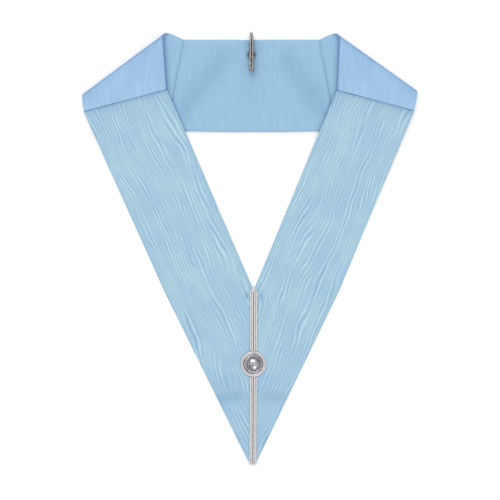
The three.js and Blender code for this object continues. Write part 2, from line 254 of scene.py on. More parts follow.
def lay_out(side):
    back_top = Vector((NECK_LENGTH / 2, 0))
    back_end = Vector((back_top.x + BACK_WIDTH * tan(radians(BACK_MITRE)), -BACK_WIDTH))
    fold_top = step(back_top, NECK_RISE * side["rise"], side["rise_angle"])
    seam_top = step(fold_top, SHOULDER_NECK, -90 - side["neck_lean"])
    crotch = Vector((side["sign"] * CROTCH_SWAY, -CROTCH_DEPTH))
    tip = Vector((side["sign"] * TIP_SWAY, -CROTCH_DEPTH - POINT_LENGTH))
    lean = atan2(seam_top.x - crotch.x, seam_top.y - crotch.y)
    seam_length = RIBBON_WIDTH * side["width"] / cos(lean - radians(side["seam_angle"]))
    seam_end = step(seam_top, seam_length, -side["seam_angle"])
    fold_end = step(seam_end, SHOULDER_OUTER * side["outer"], 90 - side["outer_lean"])
    bend_x = seam_end.x - (seam_end.y - crotch.y) * tan(lean) - RIBBON_TAPER * side["taper"]
    along = (fold_end - fold_top).normalized()
    inward = Vector((along.y, -along.x))
    return SimpleNamespace(
        sign=side["sign"], name=side["name"], back_top=back_top, back_end=back_end,
        fold_top=fold_top, fold_end=fold_end, seam_top=seam_top, seam_end=seam_end,
        crotch=crotch, bend=Vector((bend_x, crotch.y)), tip=tip,
        tip_corner=Vector((tip.x + TIP_HALF_WIDTH * side["tip"], tip.y + TIP_RISE)),
        lean=lean, along=along, inward=inward, fold_length=(fold_end - fold_top).length,
        landing=LANDING * (back_end - fold_top).dot(inward),
    )


PLANS = [lay_out(side) for side in SIDES]


def clamp(value):
    return min(max(value, 0), 1)


def hump(distance, reach):
    """A soft rise from 0 to 1 and back, over a reach either side."""
    return exp(-((distance / reach) ** 2))


def pressed(line, distance):
    """Painted shade: how dark the colour is painted at this distance from a pressed line, fold, seam or
    edge.
    """
    tone, reach = PAINTED_SHADE_LINES[line]
    return tone * hump(distance, reach)


def fold_radius(share):
    hollow = FOLD_HOLLOW_NECK + (FOLD_HOLLOW_OUTER - FOLD_HOLLOW_NECK) * clamp(share)
    return STACK + hollow


def top_height(plan, point):
    """Height of the outer face in front of the fold, easing down from the fold to rest."""
    reach = point - plan.fold_top
    radius = fold_radius(reach.dot(plan.along) / plan.fold_length)
    share = clamp((reach.dot(plan.inward) - radius) / (plan.landing - radius))
    return STACK + (2 * radius - STACK) * (1 + cos(pi * share)) / 2


def place(plan, point, height):
    return HOME + Vector((plan.sign * point.x, point.y, height))


def rumple(point, size, height, seed):
    """The soft unevenness of pressed cloth."""
    return height * noise.noise(Vector((point.x / size, point.y / size, seed)))


def segment_distance(point, start, end):
    course = end - start
    share = clamp((point - start).dot(course) / course.length_squared)
    return (point - start - share * course).length


# Sheets: each is laid between two depths under an outer face, with a half-round rim

def ease(share):
    """Steps that are closer together near both ends."""
    return 0.45 * share + 0.55 * (1 - cos(pi * share)) / 2


def rim_shares(steps, rim):
    """Shares from 0 to 1, each with its lift: 0 at the very edge and 1 once past the rim."""
    turns = [pi / 2 * k / RIM_STEPS for k in range(RIM_STEPS)]
    start = [(rim * (1 - cos(turn)), sin(turn)) for turn in turns]
    middle = [(rim + (1 - 2 * rim) * ease(k / steps), 1) for k in range(steps + 1)]
    end = [(1 - share, lift) for share, lift in reversed(start)]
    return start + middle + end


def add_grid(columns, material):
    """A grid of faces through columns of points, each with its spot on the flat cloth and the shade
    painted on it there.
    """
    across, along = len(columns) - 1, len(columns[0]) - 1
    bpy.ops.mesh.primitive_grid_add(x_subdivisions=across, y_subdivisions=along, size=1)
    grid = bpy.context.object
    mesh = grid.data
    flat, painted_shades = [], []
    for vertex in mesh.vertices:
        i = round((vertex.co.x + 0.5) * across)
        j = round((vertex.co.y + 0.5) * along)
        vertex.co, spot, painted_shade = columns[i][j]
        flat.append(spot)
        painted_shades.append(painted_shade)
    for loop, corner in zip(mesh.loops, mesh.uv_layers.active.data):
        corner.uv = flat[loop.vertex_index]
    # The shade painted on each point, which darkens its colour
    mesh.attributes.new("painted_shade", "FLOAT", "POINT").data.foreach_set("value", painted_shades)
    mesh.materials.append(material)
    return grid


def close_up(name, *halves):
    """Joins meshes along the rims that they share and turns all faces outwards."""
    bpy.ops.object.select_all(action="DESELECT")
    for half in halves:
        half.select_set(True)
    bpy.context.view_layer.objects.active = halves[0]
    bpy.ops.object.join()
    piece = bpy.context.object
    bpy.ops.object.mode_set(mode="EDIT")
    bpy.ops.mesh.select_all(action="SELECT")
    bpy.ops.mesh.remove_doubles(threshold=1e-6)
    bpy.ops.mesh.normals_make_consistent(inside=False)
    bpy.ops.object.mode_set(mode="OBJECT")
    bpy.ops.object.shade_smooth()
    piece.name = name
    piece.data.name = name
    return piece


def sheet_piece(name, face, flat, painted_shade, sign, near, far, grid, materials, end_rim=1.0):
    """Cloth between two depths under face(across, along), with the outer and the inner material.
    flat gives each spot before the cloth was folded; the function after it gives how much shade is painted
    on the colour there."""
    middle, half = (near + far) / 2, (far - near) / 2
    nudge = 1e-4
    length = sum(
        (face(0.5, (k + 1) / 20) - face(0.5, k / 20)).length for k in range(20)
    )
    rows = rim_shares(grid[1], half * end_rim / length)
    outer, inner = [], []
    for along, lift_along in rows:
        width = (face(1, along) - face(0, along)).length
        outer_row, inner_row = [], []
        for across, lift_across in rim_shares(grid[0], half / width):
            spot = face(across, along)
            low, high = max(across - nudge, 0), min(across + nudge, 1)
            aside = face(high, along) - face(low, along)
            low, high = max(along - nudge, 0), min(along + nudge, 1)
            ahead = face(across, high) - face(across, low)
            inward = aside.cross(ahead).normalized() * sign
            lift = half * lift_across * lift_along
            on_cloth = (flat(across, along), painted_shade(across, along))
            for row, depth in ((outer_row, middle - lift), (inner_row, middle + lift)):
                point = spot + inward * depth
                point.z = max(point.z, 0)
                row.append((point, *on_cloth))
        outer.append(outer_row)
        inner.append(inner_row)
    return close_up(name, add_grid(outer, materials[0]), add_grid(inner, materials[1]))


# Faces of the back, the shoulders and the fronts

def inset_share(inset, across):
    """A share of the width of the back or a shoulder, between two edges that are set in."""
    edge = inset / BACK_WIDTH
    return edge + (1 - 2 * edge) * across


def strip_length(across):
    """Length of the back strip, which grows from its neck edge to its hem."""
    return NECK_LENGTH + 2 * BACK_WIDTH * tan(radians(BACK_MITRE)) * across


def back_face(inset, relief, across, along):
    """The back strip's face, which lies down: across from neck edge to hem, along from left to right."""
    share = inset_share(inset, across)
    ends = []
    for plan in PLANS:
        point = plan.back_top.lerp(plan.back_end, share)
        point.x -= SEAM_GAP
        ends.append(place(plan, point, 0))
    spot = ends[0].lerp(ends[1], along)
    spot.y -= HEM_BOW * (1 - (2 * along - 1) ** 2) * across
    if relief:
        spot.z += lining_relief(spot - HOME)
    return spot


def lining_relief(point):
    """Height that the lining stands off its cloth: pressed smooth with a few soft diagonal folds."""
    flat = point.xy
    height = LINING_LOOSE + rumple(flat, 0.035, 0.0003, 3)
    for fold in LINING_FOLDS:
        height -= fold["depth"] * hump(fold_distance(fold, flat), fold["reach"])
    height -= 0.00008 * hump(flat.y + NECK_HEM, 0.0008)
    return max(height, 0) * (1 - hump(flat.x, 0.012)) * clamp(-flat.y / 0.004)


def fold_distance(fold, point):
    return segment_distance(point, Vector(fold["from"]), Vector(fold["to"]))


def lining_painted_shade(across, along):
    """Painted shade on the lining: in its soft folds, the shadow by the fronts, on its hem lines and at
    its seams.
    """
    point = (back_face(LINING_INSET, False, across, along) - HOME).xy
    dark = max(
        fold["tone"] * hump(fold_distance(fold, point), fold["reach"]) for fold in LINING_FOLDS
    )
    from_front = min(
        segment_distance(Vector((plan.sign * point.x, point.y)), plan.seam_top, plan.crotch)
        for plan in PLANS
    )
    dark = max(dark, pressed("lining_shadow_by_front", from_front))
    hem = sum(pressed("lining_hem", point.y + k * NECK_HEM) for k in (1, 2))
    from_seam = min(along, 1 - along) * strip_length(across)
    return clamp(dark + hem + pressed("lining_seam", from_seam))


@lru_cache(maxsize=None)
def shoulder_line(name, share):
    """One line of a shoulder's face from the back seam over the fold to the front seam."""
    plan = next(plan for plan in PLANS if plan.name == name)
    rear = plan.back_top.lerp(plan.back_end, share)
    crest = plan.fold_top.lerp(plan.fold_end, share)
    front = plan.seam_top.lerp(plan.seam_end, share)
    radius = fold_radius(share)
    course = crest - rear
    slant = course.dot(plan.along) / -course.dot(plan.inward)

    def on_roll(turn):
        slide = radius * slant * (turn - pi / 2)
        return crest + slide * plan.along + radius * (1 - sin(turn)) * plan.inward

    landing = on_roll(pi)
    rear = rear + SEAM_GAP * course.normalized()
    front = front + SEAM_GAP * (landing - front).normalized()
    foot = on_roll(0)
    flat, last = (foot - rear).length, (front - landing).length
    roll = pi * radius * hypot(1, slant)
    return SimpleNamespace(
        rear=rear, foot=foot, landing=landing, front=front, on_roll=on_roll, flat=flat,
        roll=roll, last=last, length=flat + roll + last, top=top_height(plan, landing),
    )


def shoulder_face(plan, inset, across, along):
    share = inset_share(inset, across)
    line = shoulder_line(plan.name, share)
    reach = along * line.length
    if reach < line.flat:
        return place(plan, line.rear.lerp(line.foot, reach / line.flat), 0)
    reach -= line.flat
    if reach < line.roll:
        turn = pi * reach / line.roll
        return place(plan, line.on_roll(turn), line.top * (1 - cos(turn)) / 2)
    point = line.landing.lerp(line.front, (reach - line.roll) / line.last)
    relief = shoulder_relief(plan, point, share, line, reach)
    return place(plan, point, top_height(plan, point) + relief)


def shoulder_relief(plan, point, share, line, reach):
    past_roll = clamp((reach - line.roll) / 0.012)
    to_neck = share * BACK_WIDTH
    hem = -0.0004 * hump(to_neck - SHOULDER_HEM, 0.0008)
    return past_roll * (hem + rumple(point, 0.03, 0.0004, 5 + plan.sign))


def shoulder_painted_shade(plan, across, along):
    """Painted shade on a shoulder: over its fold, along its neck edge and into its two seams."""
    line = shoulder_line(plan.name, across)
    reach = along * line.length
    turn = pi * (reach - line.flat) / line.roll
    past_fold = max(reach - line.flat - line.roll / 2, 0)
    fold = pressed("shoulder_fold", turn - pi / 2) + pressed("shoulder_past_fold", past_fold)
    to_seam = line.length - reach
    seam = pressed("shoulder_front_seam", to_seam) + pressed("shoulder_back_seam", reach)
    to_neck = across * BACK_WIDTH
    neck = pressed("shoulder_neck", to_neck) + pressed("shoulder_hem", to_neck - SHOULDER_HEM)
    return clamp(fold + seam + neck)


def front_edges(plan, along):
    aside = Vector((SEAM_GAP / 2, 0))
    crotch, tip = plan.crotch + aside, plan.tip + aside
    if along < CROTCH_SHARE:
        share = along / CROTCH_SHARE
        return plan.seam_top.lerp(crotch, share), plan.seam_end.lerp(plan.bend, share)
    share = (along - CROTCH_SHARE) / (1 - CROTCH_SHARE)
    return crotch.lerp(tip, share), plan.bend.lerp(plan.tip_corner, share)


def seam_reach(plan, point):
    """How far right or left of the seam between the fronts a point lies."""
    drift = (plan.tip.x - plan.crotch.x) * (plan.crotch.y - point.y) / POINT_LENGTH
    return point.x - plan.crotch.x - drift


def below_crotch(plan, point):
    """0 above the crotch and 1 a little below it."""
    return clamp((plan.crotch.y - point.y) / 0.01)


def wave_at(plan, point):
    """The waves across the point of the collar, each with its strength at this spot."""
    from_seam = seam_reach(plan, point)
    up = point.y - plan.tip.y
    away = clamp((from_seam - 0.003) / 0.016)
    return [
        (wave, away * hump(up - wave["up"] + wave["lean"] * from_seam, wave["reach"]))
        for wave in POINT_WAVES
    ]


def pucker_at(plan, point):
    """The dents that the end of the braid pulls into the cloth beside the crotch."""
    off = point - plan.crotch - Vector(PUCKER_SPOT)
    return hump(off.x, PUCKER_REACH[0]) * hump(off.y + off.x * 0.3, PUCKER_REACH[1])


def front_painted_shade(plan, across, along):
    """Painted shade on a front: into the seam above it, along its edges, in its waves and puckers."""
    inner, outer = front_edges(plan, along)
    point = inner.lerp(outer, across)
    below = below_crotch(plan, point)
    from_inner, from_outer = (point - inner).length, (point - outer).length
    from_top = segment_distance(point, plan.seam_top, plan.seam_end)
    seam = sum(pressed(line, from_top) for line in ("front_seam", "front_by_seam", "front_below_seam"))
    at_inner = pressed("front_inner_edge", from_inner) + pressed("front_hem", from_inner - FRONT_HEM)
    edges = at_inner * (1 - below) + pressed("front_outer_edge", from_outer)
    waves = sum(wave["tone"] * strength for wave, strength in wave_at(plan, point))
    return clamp(seam + edges + waves + PUCKER_SHADE * pucker_at(plan, point))


def front_face(plan, across, along):
    """A front's face; across runs from its inner to its outer edge, along from the seam to the tip."""
    inner, outer = front_edges(plan, along)
    point = inner.lerp(outer, across)
    return place(plan, point, top_height(plan, point) + front_relief(plan, point, inner, outer))


def front_relief(plan, point, inner, outer):
    """A front's unevenness: waves over the point, puckers, a pressed hem and the braid's pull."""
    from_seam = seam_reach(plan, point)
    below = below_crotch(plan, point)
    from_inner, from_outer = (point - inner).length, (point - outer).length
    height = rumple(point, 0.045, 0.0006, 11 + plan.sign)
    height += rumple(point, 0.016, 0.0002, 17 + plan.sign)
    height -= sum(wave["depth"] * strength for wave, strength in wave_at(plan, point))
    height -= 0.0003 * hump(from_seam - BRAID_DENT, 0.0014) * below
    height -= 0.0003 * hump(from_inner - FRONT_HEM, 0.0007) * (1 - below)
    height -= PUCKER_DEPTH * pucker_at(plan, point)
    from_edge = min(from_inner, from_outer) if below < 1 else from_outer
    loose = 0.4 + 0.6 * clamp(from_edge / EDGE_REST)
    under_braid = 1 - below * hump(from_seam, EDGE_REST)
    return height * loose * under_braid


# Materials

def tint(red, green, blue):
    """A colour as it looks on screen, from 0 to 255, as the shader's own."""
    return (*[((part / 255 + 0.055) / 1.055) ** 2.4 for part in (red, green, blue)], 1)


def add_node(tree, kind, inputs=None, **settings):
    """A new node, with its inputs set to plain values or linked to other nodes' sockets."""
    made = tree.nodes.new("ShaderNode" + kind)
    for name, value in settings.items():
        setattr(made, name, value)
    for name, value in (inputs or {}).items():
        if isinstance(value, bpy.types.NodeSocket):
            tree.links.new(value, made.inputs[name])
        else:
            made.inputs[name].default_value = value
    return made


def use_group(tree, group, inputs):
    return add_node(tree, "Group", inputs, node_tree=group).outputs


def calc(tree, operation, first, second=0.0, third=0.0):
    """One step of arithmetic on sockets or numbers."""
    return add_node(tree, "Math", {0: first, 1: second, 2: third}, operation=operation).outputs[0]


def scaled(tree, value, factor, offset):
    """A value times a factor, plus an offset."""
    return calc(tree, "MULTIPLY_ADD", value, factor, offset)


def blend_colours(tree, share, first, second):
    return add_node(tree, "Mix", {0: share, 6: first, 7: second}, data_type="RGBA").outputs[2]


def ramp(tree, value, low, high, start=0.0, end=1.0):
    """Turns low to high into start to end, and holds the ends beyond them."""
    limits = {0: value, 1: low, 2: high, 3: start, 4: end}
    return add_node(tree, "MapRange", limits, clamp=True).outputs[0]


def cloud(tree, spot, scale=1.0, detail=2.0, roughness=0.5, dimensions="3D"):
    """Soft noise from 0 to 1."""
    values = {"Vector": spot, "Scale": scale, "Detail": detail, "Roughness": roughness}
    return add_node(tree, "TexNoise", values, noise_dimensions=dimensions).outputs[0]


def ripple(tree, turns):
    """A wave between 0 and 1, once for every whole turn."""
    sine = calc(tree, "SINE", calc(tree, "MULTIPLY", turns, 2 * pi))
    return scaled(tree, sine, 0.5, 0.5)


def new_group(name, place_label, numbers, outputs):
    """An empty node group that takes a place and some numbers, and the sockets inside it."""
    group = bpy.data.node_groups.new(name, "ShaderNodeTree")
    group.interface.new_socket(place_label, in_out="INPUT", socket_type="NodeSocketVector")
    for label, value in numbers.items():
        socket = group.interface.new_socket(label, in_out="INPUT", socket_type="NodeSocketFloat")
        socket.default_value = value
    for label in outputs:
        group.interface.new_socket(label, in_out="OUTPUT", socket_type="NodeSocketFloat")
    entry, end = group.nodes.new("NodeGroupInput"), group.nodes.new("NodeGroupOutput")
    return group, entry.outputs, end.inputs


def new_material(name, **surface):
    """A material with its shader, whose plain values are set at once."""
    material = bpy.data.materials.new(name)
    material.use_nodes = True
    tree = material.node_tree
    shader = tree.nodes["Principled BSDF"]
    for label, value in surface.items():
        shader.inputs[label.replace("_", " ")].default_value = value
    return material, tree, shader


def watering_group():
    """The watermark of moire: clusters of fine wandering lines along the ribbon, over soft patches."""
    numbers = {"Seed": 0.0, "Line Gap": 0.0043, "Cluster": 0.0155}
    group, given, result = new_group("watering", "Cloth", numbers, ["Mark", "Patch", "Cool"])
    parts = add_node(group, "SeparateXYZ", {0: given["Cloth"]}).outputs
    across, along = parts[0], parts[1]

    def field(width, length, shift, detail=1.0):
        """Noise from -0.5 to 0.5 in cells of this width and length."""
        spot = add_node(group, "CombineXYZ", {
            0: calc(group, "ADD", calc(group, "DIVIDE", across, width),
                    calc(group, "ADD", given["Seed"], shift)),
            1: calc(group, "DIVIDE", along, length),
        }).outputs[0]
        return calc(group, "SUBTRACT", cloud(group, spot, 1.0, detail, 0.45, "2D"), 0.5)

    def waves(reach, gap):
        return ripple(group, calc(group, "DIVIDE", reach, gap))

    wander = scaled(group, field(0.070, 0.13, 0.0), 0.023, across)
    flicker = scaled(group, field(0.020, 0.05, 23.0), 0.0085, wander)
    jitter = scaled(group, field(0.005, 0.006, 41.0), 0.0007, flicker)
    fine = waves(jitter, calc(group, "DIVIDE", given["Line Gap"], 2.3))
    broad = calc(group, "POWER", waves(jitter, given["Line Gap"]), 1.3)
    lines = scaled(group, fine, 0.26, calc(group, "MULTIPLY", broad, 0.9))
    cluster_reach = scaled(group, field(0.050, 0.09, 11.0), 0.020, wander)
    cluster = waves(cluster_reach, given["Cluster"])
    strength = ramp(group, field(0.022, 0.045, 7.3), -0.16, 0.1, 0.25, 1.0)
    weight = calc(group, "MULTIPLY", ramp(group, cluster, 0.15, 0.7, 0.2, 1.0), strength)
    mark = calc(group, "MULTIPLY", calc(group, "SUBTRACT", lines, 0.5), weight)
    group.links.new(calc(group, "ADD", mark, 0.5), result["Mark"])
    patch = scaled(group, cluster, 0.25, 0.375)
    group.links.new(scaled(group, field(0.034, 0.05, 19.1, 2.5), 1.5, patch), result["Patch"])
    group.links.new(ramp(group, field(0.019, 0.032, 31.7, 2.0), -0.02, 0.16), result["Cool"])
    return group


def weave_group():
    """Fine ribs of thread across or along the cloth, with the threads' own unevenness."""
    numbers = {"Rib Gap": 0.0006, "Turned": 0.0}
    group, given, result = new_group("weave", "Cloth", numbers, ["Rib", "Streak"])
    parts = add_node(group, "SeparateXYZ", {0: given["Cloth"]}).outputs
    run = add_node(group, "Mix", {0: given["Turned"], 2: parts[1], 3: parts[0]}).outputs[0]
    side = add_node(group, "Mix", {0: given["Turned"], 2: parts[0], 3: parts[1]}).outputs[0]
    spot = add_node(group, "CombineXYZ", {
        0: calc(group, "DIVIDE", run, 0.0022), 1: calc(group, "DIVIDE", side, 0.028)}).outputs[0]
    group.links.new(ripple(group, calc(group, "DIVIDE", run, given["Rib Gap"])), result["Rib"])
    group.links.new(cloud(group, spot, dimensions="2D"), result["Streak"])
    return group


def wear_group():
    """Tarnish and rub marks on metal."""
    group, given, result = new_group("wear", "Place", {"Size": 0.003}, ["Tarnish", "Grain"])
    scale = calc(group, "DIVIDE", 1.0, given["Size"])
    spot = add_node(group, "VectorMath", {0: given["Place"], 3: scale}, operation="SCALE").outputs[0]
    stains = cloud(group, spot, detail=4.0, roughness=0.6)
    group.links.new(ramp(group, stains, 0.38, 0.66), result["Tarnish"])
    group.links.new(cloud(group, spot, 12.0), result["Grain"])
    return group


WATERING, WEAVE, WEAR = watering_group(), weave_group(), wear_group()


def cloth_spot(tree):
    return add_node(tree, "UVMap", uv_map="UVMap").outputs[0]


def wear_on(tree, size):
    place_on = add_node(tree, "TexCoord").outputs["Object"]
    return use_group(tree, WEAR, {"Place": place_on, "Size": size})


# The shade painted on each point of a piece, from 0 to 1
def painted_shade_in(tree):
    return add_node(tree, "Attribute", attribute_name="painted_shade").outputs["Fac"]


def darken_by_painted_shade(tree, colour, dark):
    """Paints shade into a colour: darker towards the dark colour where shade is painted on the piece."""
    return blend_colours(tree, painted_shade_in(tree), colour, dark)


def finish_with(tree, shader, colour, rough, height, strength, distance=0.0002):
    """Gives a shader its colour and roughness, and a fine relief by the height."""
    bump = add_node(tree, "Bump", {"Height": height, "Strength": strength, "Distance": distance})
    tree.links.new(colour, shader.inputs["Base Color"])
    tree.links.new(rough, shader.inputs["Roughness"])
    tree.links.new(bump.outputs[0], shader.inputs["Normal"])


def watered_ribbon(seed):
    material, tree, shader = new_material(
        f"watered_ribbon_{seed}", Sheen_Weight=0.25, Sheen_Roughness=0.4, Specular_IOR_Level=0.35,
    )
    spot = cloth_spot(tree)
    marks = use_group(tree, WATERING, {"Cloth": spot, "Seed": seed * 5.7})
    weave = use_group(tree, WEAVE, {"Cloth": spot, "Rib Gap": 0.0005})
    patch = ramp(tree, marks["Patch"], 0.2, 0.8)
    ground = blend_colours(tree, patch, tint(150, 188, 215), tint(178, 212, 225))
    down = add_node(tree, "SeparateXYZ", {0: spot}).outputs[1]
    from_middle = calc(tree, "ABSOLUTE", calc(tree, "ADD", down, 0.17))
    at_ends = ramp(tree, from_middle, 0.12, 0.25, 0.0, 0.6)
    cool = scaled(tree, marks["Cool"], 0.75, at_ends)
    ground = blend_colours(tree, cool, ground, tint(143, 180, 227))
    line = ramp(tree, marks["Mark"], 0.0, 0.95)
    lined = blend_colours(tree, line, tint(133, 170, 198), tint(195, 231, 243))
    # Painted shade: darker blue where the front is seamed, hemmed, waved and puckered, and along its edges
    colour = darken_by_painted_shade(tree, blend_colours(tree, 0.66, ground, lined), tint(96, 140, 182))
    rough = scaled(tree, line, -0.14, 0.6)
    height = scaled(tree, line, 0.15, weave["Rib"])
    finish_with(tree, shader, colour, rough, height, 0.12)
    return material


def plain_ribbon():
    material, tree, shader = new_material(
        "plain_ribbon", Sheen_Weight=0.3, Sheen_Roughness=0.4, Specular_IOR_Level=0.35,
    )
    spot = cloth_spot(tree)
    marks = use_group(tree, WATERING, {"Cloth": spot, "Seed": 3.0})
    weave = use_group(tree, WEAVE, {"Cloth": spot, "Rib Gap": 0.0006, "Turned": 1.0})
    tone = scaled(tree, weave["Streak"], 0.6, calc(tree, "MULTIPLY", marks["Patch"], 0.4))
    tone = ramp(tree, tone, 0.35, 0.65)
    # Partly painted light: the bluer, more violet tint stands in for the different light on the shoulders'
    # slope
    colour = blend_colours(tree, tone, tint(155, 193, 227), tint(165, 203, 235))
    rough = scaled(tree, tone, -0.08, 0.6)
    height = scaled(tree, weave["Rib"], 0.5, weave["Streak"])
    # Painted shade: darker violet over the folds, along the neck edges and into the seams
    finish_with(tree, shader, darken_by_painted_shade(tree, colour, tint(92, 130, 188)), rough, height, 0.2)
    return material


def lining_satin():
    material, tree, shader = new_material(
        "lining_satin", Sheen_Weight=0.15, Sheen_Roughness=0.5, Specular_IOR_Level=0.3,
    )
    spot = cloth_spot(tree)
    weave = use_group(tree, WEAVE, {"Cloth": spot, "Rib Gap": 0.0011, "Turned": 1.0})
    tone = scaled(tree, weave["Rib"], 0.25, calc(tree, "MULTIPLY", weave["Streak"], 0.75))
    tone = ramp(tree, tone, 0.3, 0.7)
    colour = blend_colours(tree, tone, tint(149, 190, 219), tint(157, 198, 227))
    rough = scaled(tree, tone, -0.1, 0.62)
    # Painted shade: darker in the lining's folds, by the fronts, on its hem lines and at its seams
    finish_with(tree, shader, darken_by_painted_shade(tree, colour, tint(106, 150, 184)), rough, tone, 0.2)
    return material


def metal_braid():
    """Silver thread with a painted highlight on each turn, painted shade between the turns and on the
    cords' sides, by a map across and along the braid.
    """
    material, tree, shader = new_material("metal_braid", Metallic=0.55)
    parts = add_node(tree, "SeparateXYZ", {0: cloth_spot(tree)}).outputs
    lean = calc(tree, "ABSOLUTE", parts[0])
    pitch = THREAD_PITCH / 3  # three threads lie side by side on every turn
    thread = ripple(tree, calc(
        tree, "SUBTRACT", calc(tree, "DIVIDE", parts[1], pitch),
        calc(tree, "DIVIDE", lean, pitch / THREAD_SLANT)))
    # Painted shade on the sides of the cords and in the groove between them
    round_over = calc(tree, "SINE", calc(tree, "MULTIPLY", lean, 2 * pi / BRAID_WIDTH))
    cord = ramp(tree, round_over, 0.1, 0.78)
    tarnish = scaled(tree, wear_on(tree, 0.004)["Tarnish"], 0.3, 0.3)
    # Painted highlights on the turns of the thread, over the tarnish
    bright = scaled(tree, thread, 0.4, tarnish)
    silver = blend_colours(tree, bright, tint(206, 200, 200), tint(250, 247, 248))
    colour = blend_colours(tree, cord, tint(166, 162, 167), silver)
    rough = scaled(tree, bright, -0.15, 0.5)
    finish_with(tree, shader, colour, rough, thread, 0.3, 0.00008)
    return material


def plated_metal(name, dull, bright, size, roughness):
    material, tree, shader = new_material(name, Metallic=1.0)
    wear = wear_on(tree, size)
    # Painted shade: darker and browner where shade is stored on the piece, in hollows and on shaded sides
    colour = darken_by_painted_shade(tree, blend_colours(tree, wear["Tarnish"], dull, bright), tint(66, 54, 54))
    rough = scaled(tree, painted_shade_in(tree), 0.3, roughness)
    rough = scaled(tree, wear["Grain"], 0.16, rough)
    finish_with(tree, shader, colour, rough, wear["Grain"], 0.2, 0.00005)
    return material


def sewing_thread():
    material, tree, shader = new_material("sewing_thread", Sheen_Weight=0.3, Roughness=0.6)
    worn = wear_on(tree, 0.0006)["Tarnish"]
    colour = blend_colours(tree, worn, tint(112, 150, 182), tint(148, 186, 214))
    tree.links.new(colour, shader.inputs["Base Color"])
    return material


RIBBON = {plan.name: watered_ribbon(seed) for seed, plan in enumerate(PLANS, 1)}
SHOULDER, SATIN = plain_ribbon(), lining_satin()
SILVER = metal_braid()
BUTTON_METAL = plated_metal("button_metal", tint(156, 154, 160), tint(228, 226, 231), 0.003, 0.16)
HOOK_METAL = plated_metal("hook_metal", tint(156, 151, 151), tint(196, 194, 196), 0.004, 0.32)
THREAD = sewing_thread()


def store_painted_shade(piece, depth):
    """Stores the shade painted on each point of a metal piece, from 0 to 1, by its place and its normal.
    """
    mesh = piece.data
    values = [clamp(depth(vertex.co, vertex.normal)) for vertex in mesh.vertices]
    mesh.attributes.new("painted_shade", "FLOAT", "POINT").data.foreach_set("value", values)


def settle(piece, slot, *nodes):
    """Attaches the piece to the root body and hides the CAD parts that it stands for; slot is not used."""
    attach(piece, "root")
    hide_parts(*nodes)


# The cloth

def polygon_area(corners):
    pairs = zip(corners, corners[1:] + corners[:1])
    return abs(sum(a.x * b.y - b.x * a.y for a, b in pairs)) / 2


def smooth(across, along):
    return 0.0


def make_back():
    def flat(across, along):
        return ((along - 0.5) * strip_length(across), across * BACK_WIDTH)

    cloth = sheet_piece(
        "back_strip", lambda u, v: back_face(0, False, u, v), flat, smooth, 1,
        0, CLOTH, BACK_GRID, (SHOULDER, SHOULDER))
    lining = sheet_piece(
        "back_strip_lining", lambda u, v: back_face(LINING_INSET, True, u, v), flat, lining_painted_shade, 1,
        CLOTH + GAP, STACK, BACK_GRID, (SATIN, SATIN), end_rim=0.3)
    for piece, node, slot, inset in (
        (cloth, "back_panel", "shoulder_cloth", 0),
        (lining, "back_lining", "lining_cloth", LINING_INSET),
    ):
        settle(piece, slot, node)


def make_shoulder(plan):
    neck = shoulder_line(plan.name, 0).length
    outer = shoulder_line(plan.name, 1).length

    def flat(across, along):
        return (across * BACK_WIDTH, along * shoulder_line(plan.name, across).length)

    def flat_lining(across, along):
        return tuple(reversed(flat(across, along)))

    # Painted shade along the lining's back seam
    def back_seam_shade(across, along):
        return pressed("lining_seam", along * neck)

    # Painted shade over the fold, along the neck edge and into the seams
    def folds(across, along):
        return shoulder_painted_shade(plan, across, along)

    for label, inset, near, far, slot, material, spread, painted_shade, end_rim in (
        ("", 0, 0, CLOTH, "shoulder_cloth", SHOULDER, flat, folds, 1.0),
        ("_lining", LINING_INSET, CLOTH + GAP, STACK, "lining_cloth", SATIN, flat_lining, back_seam_shade, 0.3),
    ):
        piece = sheet_piece(
            f"shoulder_{plan.name}{label}", lambda u, v: shoulder_face(plan, inset, u, v), spread, painted_shade,
            plan.sign, near, far, SHOULDER_GRID, (material, material), end_rim)
        node = f"shoulder_{'lining' if label else 'panel'}_{plan.name}"
        settle(piece, slot, node)
        max(neck, outer)


def make_front(plan):
    lean = Vector((sin(plan.lean), cos(plan.lean)))
    aside = Vector((lean.y, -lean.x))

    def flat(across, along):
        point = (front_face(plan, across, along) - HOME).xy
        offset = Vector((plan.sign * point.x, point.y)) - plan.seam_end
        return (offset.dot(aside), offset.dot(lean))

    piece = sheet_piece(
        f"front_{plan.name}", lambda u, v: front_face(plan, u, v), flat,
        lambda u, v: front_painted_shade(plan, u, v), plan.sign, 0, STACK, FRONT_GRID, (RIBBON[plan.name], SATIN))
    settle(piece, "moire_ribbon", f"front_panel_{plan.name}")
    corners = [plan.seam_top, plan.seam_end, plan.bend, plan.tip_corner, plan.tip, plan.crotch]
    polygon_area(corners)


make_back()
for plan in PLANS:
    make_shoulder(plan)
    make_front(plan)


# The braid

TRIM_PLACE = (
    Matrix.Translation(HOME + Vector((CROTCH_SWAY, -CROTCH_DEPTH, STACK + GAP)))
    @ Matrix.Rotation(atan2(TIP_SWAY - CROTCH_SWAY, POINT_LENGTH), 4, "Z")
)


